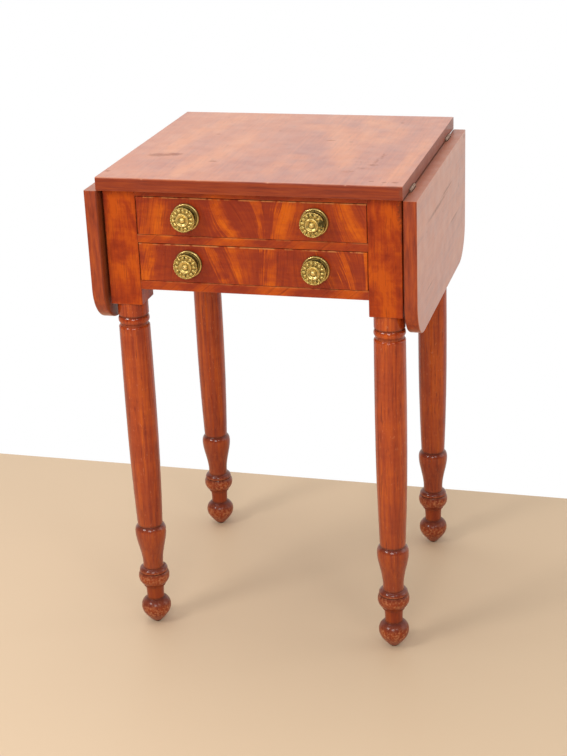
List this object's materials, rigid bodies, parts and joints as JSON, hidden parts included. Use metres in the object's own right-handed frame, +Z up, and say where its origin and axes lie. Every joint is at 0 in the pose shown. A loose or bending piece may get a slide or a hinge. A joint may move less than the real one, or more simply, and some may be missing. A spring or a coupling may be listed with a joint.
{
  "type": "pembroke table",
  "caption": "Small drop-leaf side table with drawers under a flat top, brass rosette knobs and turned legs.",
  "frame": {"origin": "on the floor, under the middle of the top", "axes": "+Z up; the drawers face -Y; +X is to the right of someone facing the drawers; leaves hang at -X and +X"},
  "size_m": [0.476, 0.4255, 0.73],
  "materials": {
    "mahogany": "satin shellac, worn",
    "flame_veneer": "figured veneer, satin shellac",
    "pine": "bare, aged",
    "brass": "stamped, patinated",
    "iron": "forged, darkened"
  },
  "bodies": {
    "frame": {"top_board": "mahogany", "leg_front_left": "mahogany", "leg_front_right": "mahogany", "leg_back_left": "mahogany", "leg_back_right": "mahogany", "outer_apron_left": "mahogany", "outer_apron_right": "mahogany", "fly_bracket_left": "mahogany", "fly_bracket_right": "mahogany", "back_apron": "mahogany", "front_top_rail": "flame_veneer", "front_middle_rail": "flame_veneer", "front_bottom_rail": "flame_veneer", "side_apron_left": "pine", "side_apron_right": "pine", "kicker_left": "pine", "kicker_right": "pine", "upper_runner_left": "pine", "upper_runner_right": "pine", "lower_runner_left": "pine", "lower_runner_right": "pine", "drawer_stops": "pine", "fly_pins": "iron", "top_screws": "iron", "hinge_top_plates_left": "iron", "hinge_top_plates_right": "iron", "hinge_pins_left": "iron", "hinge_pins_right": "iron", "hinge_top_screws": "iron"},
    "left_leaf": {"leaf_left": "mahogany", "hinge_leaf_plates_left": "iron", "hinge_leaf_screws_left": "iron"},
    "right_leaf": {"leaf_right": "mahogany", "hinge_leaf_plates_right": "iron", "hinge_leaf_screws_right": "iron"},
    "upper_drawer": {"upper_drawer_front": "flame_veneer", "upper_drawer_back": "pine", "upper_drawer_bottom": "pine", "upper_drawer_left_side": "pine", "upper_drawer_right_side": "pine", "upper_left_knob_rose": "brass", "upper_left_knob_stem": "brass", "upper_left_knob_face": "brass", "upper_right_knob_rose": "brass", "upper_right_knob_stem": "brass", "upper_right_knob_face": "brass", "upper_knob_nuts": "iron"},
    "lower_drawer": {"lower_drawer_front": "flame_veneer", "lower_drawer_back": "pine", "lower_drawer_bottom": "pine", "lower_drawer_left_side": "pine", "lower_drawer_right_side": "pine", "lower_left_knob_rose": "brass", "lower_left_knob_stem": "brass", "lower_left_knob_face": "brass", "lower_right_knob_rose": "brass", "lower_right_knob_stem": "brass", "lower_right_knob_face": "brass", "lower_knob_nuts": "iron"}
  },
  "joints": [
    {"name": "left_leaf_hinge", "type": "hinge", "parent": "frame", "child": "left_leaf", "pos_m": [-0.219, 0, 0.711], "axis": [0, 1, 0], "range_deg": [0, 90]},
    {"name": "right_leaf_hinge", "type": "hinge", "parent": "frame", "child": "right_leaf", "pos_m": [0.219, 0, 0.711], "axis": [0, -1, 0], "range_deg": [0, 90]},
    {"name": "upper_drawer_slide", "type": "slide", "parent": "frame", "child": "upper_drawer", "axis": [0, -1, 0], "range_m": [0, 0.25]},
    {"name": "lower_drawer_slide", "type": "slide", "parent": "frame", "child": "lower_drawer", "axis": [0, -1, 0], "range_m": [0, 0.25]}
  ]
}
